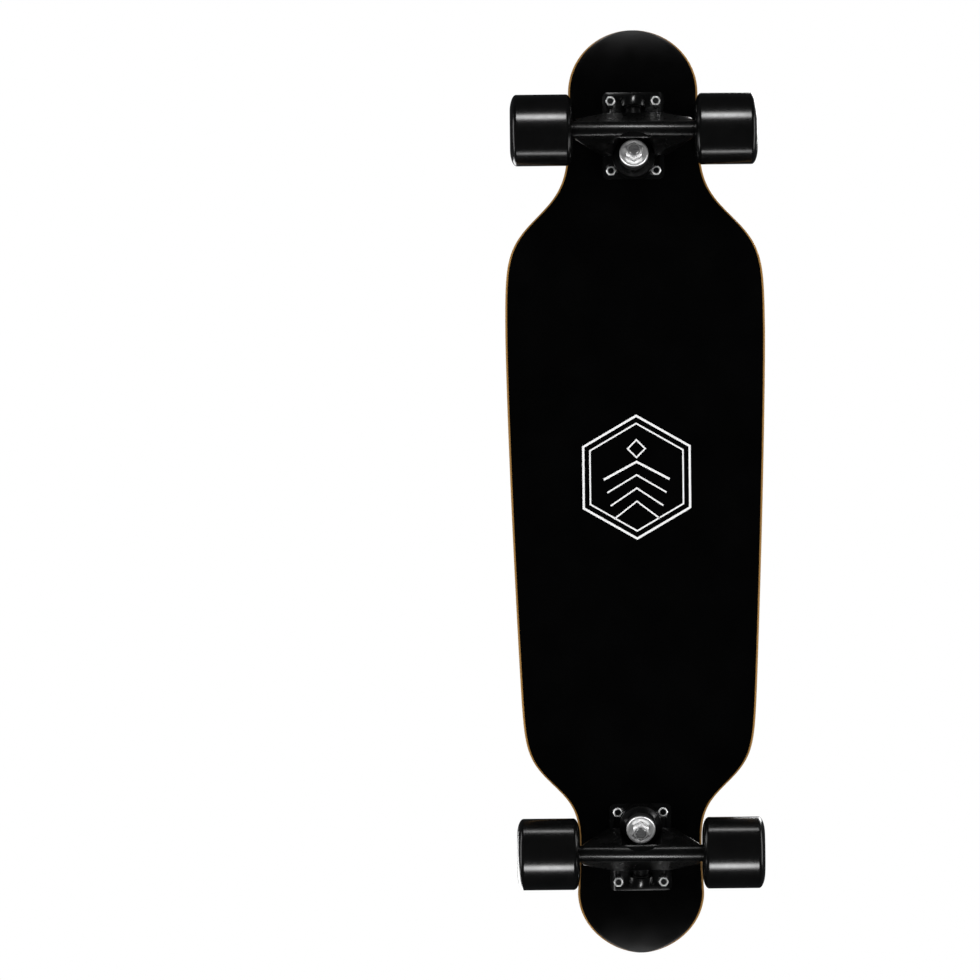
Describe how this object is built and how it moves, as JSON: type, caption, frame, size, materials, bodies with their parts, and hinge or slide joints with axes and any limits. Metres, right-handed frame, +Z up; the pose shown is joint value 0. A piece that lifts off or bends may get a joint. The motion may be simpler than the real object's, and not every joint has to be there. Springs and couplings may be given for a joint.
{
  "type": "longboard skateboard",
  "caption": "Unpowered carving longboard with a necked maple deck, kingpin trucks that steer by leaning, and wide urethane wheels.",
  "frame": {"origin": "bottom centre of the bounding box, on the ground under the wheels", "axes": "+Z up, the board runs along Y with its nose toward -Y, axles along X"},
  "size_m": [0.2368, 0.841, 0.1119],
  "materials": {
    "maple": "clear-lacquered maple edge; the underside is painted gloss black",
    "grip": "coarse black grip tape",
    "truck_paint": "gloss black paint over cast aluminium",
    "rubber": "matt black",
    "steel": "machined steel",
    "zinc": "bright zinc plate",
    "urethane": "gloss black urethane",
    "core": "moulded grey nylon",
    "bushing": "black urethane"
  },
  "bodies": {
    "board": {"deck": "maple", "grip_tape": "grip", "front_riser_pad": "rubber", "front_baseplate": "truck_paint", "front_mounting_bolts": "zinc", "front_mounting_nuts": "zinc", "front_pivot_cup": "rubber", "front_kingpin": "steel", "front_kingpin_nut": "zinc", "front_bushing_washers": "zinc", "front_road_bushing": "bushing", "front_board_bushing": "bushing", "rear_riser_pad": "rubber", "rear_baseplate": "truck_paint", "rear_mounting_bolts": "zinc", "rear_mounting_nuts": "zinc", "rear_pivot_cup": "rubber", "rear_kingpin": "steel", "rear_kingpin_nut": "zinc", "rear_bushing_washers": "zinc", "rear_road_bushing": "bushing", "rear_board_bushing": "bushing"},
    "front_axle_assembly": {"front_hanger": "truck_paint", "front_axle": "steel", "front_axle_nuts": "zinc", "front_speed_washers": "zinc", "front_bearing_spacers": "steel", "front_inner_races": "steel"},
    "front_left_wheel_set": {"front_left_wheel": "urethane", "front_left_core": "core", "front_left_outer_races": "steel", "front_left_shields": "rubber"},
    "front_left_ball_set": {"front_left_balls": "steel", "front_left_cages": "steel"},
    "front_right_wheel_set": {"front_right_wheel": "urethane", "front_right_core": "core", "front_right_outer_races": "steel", "front_right_shields": "rubber"},
    "front_right_ball_set": {"front_right_balls": "steel", "front_right_cages": "steel"},
    "rear_axle_assembly": {"rear_hanger": "truck_paint", "rear_axle": "steel", "rear_axle_nuts": "zinc", "rear_speed_washers": "zinc", "rear_bearing_spacers": "steel", "rear_inner_races": "steel"},
    "rear_left_wheel_set": {"rear_left_wheel": "urethane", "rear_left_core": "core", "rear_left_outer_races": "steel", "rear_left_shields": "rubber"},
    "rear_left_ball_set": {"rear_left_balls": "steel", "rear_left_cages": "steel"},
    "rear_right_wheel_set": {"rear_right_wheel": "urethane", "rear_right_core": "core", "rear_right_outer_races": "steel", "rear_right_shields": "rubber"},
    "rear_right_ball_set": {"rear_right_balls": "steel", "rear_right_cages": "steel"}
  },
  "joints": [
    {"name": "front_steer", "type": "hinge", "parent": "board", "child": "front_axle_assembly", "pos_m": [0, -0.3035, 0.0595], "axis": [0, 0.9511, -0.309], "range_deg": [-15, 15], "stiffness_Nm_per_rad": 60, "deforming": ["front_road_bushing", "front_board_bushing"]},
    {"name": "front_left_roll", "type": "hinge", "parent": "front_axle_assembly", "child": "front_left_wheel_set", "pos_m": [0.084, -0.3287, 0.0325], "axis": [1, 0, 0], "continuous": true},
    {"name": "front_left_ball_orbit", "type": "hinge", "parent": "front_axle_assembly", "child": "front_left_ball_set", "pos_m": [0.084, -0.3287, 0.0325], "axis": [1, 0, 0], "continuous": true},
    {"name": "front_right_roll", "type": "hinge", "parent": "front_axle_assembly", "child": "front_right_wheel_set", "pos_m": [-0.084, -0.3287, 0.0325], "axis": [1, 0, 0], "continuous": true},
    {"name": "front_right_ball_orbit", "type": "hinge", "parent": "front_axle_assembly", "child": "front_right_ball_set", "pos_m": [-0.084, -0.3287, 0.0325], "axis": [1, 0, 0], "continuous": true},
    {"name": "rear_steer", "type": "hinge", "parent": "board", "child": "rear_axle_assembly", "pos_m": [0, 0.3035, 0.0595], "axis": [0, 0.9511, 0.309], "range_deg": [-15, 15], "stiffness_Nm_per_rad": 60, "deforming": ["rear_road_bushing", "rear_board_bushing"]},
    {"name": "rear_left_roll", "type": "hinge", "parent": "rear_axle_assembly", "child": "rear_left_wheel_set", "pos_m": [0.084, 0.3287, 0.0325], "axis": [1, 0, 0], "continuous": true},
    {"name": "rear_left_ball_orbit", "type": "hinge", "parent": "rear_axle_assembly", "child": "rear_left_ball_set", "pos_m": [0.084, 0.3287, 0.0325], "axis": [1, 0, 0], "continuous": true},
    {"name": "rear_right_roll", "type": "hinge", "parent": "rear_axle_assembly", "child": "rear_right_wheel_set", "pos_m": [-0.084, 0.3287, 0.0325], "axis": [1, 0, 0], "continuous": true},
    {"name": "rear_right_ball_orbit", "type": "hinge", "parent": "rear_axle_assembly", "child": "rear_right_ball_set", "pos_m": [-0.084, 0.3287, 0.0325], "axis": [1, 0, 0], "continuous": true}
  ],
  "couplings": [
    {"joint": "front_left_ball_orbit", "follows": "front_left_roll", "ratio": 0.6323},
    {"joint": "front_right_ball_orbit", "follows": "front_right_roll", "ratio": 0.6323},
    {"joint": "rear_left_ball_orbit", "follows": "rear_left_roll", "ratio": 0.6323},
    {"joint": "rear_right_ball_orbit", "follows": "rear_right_roll", "ratio": 0.6323}
  ]
}
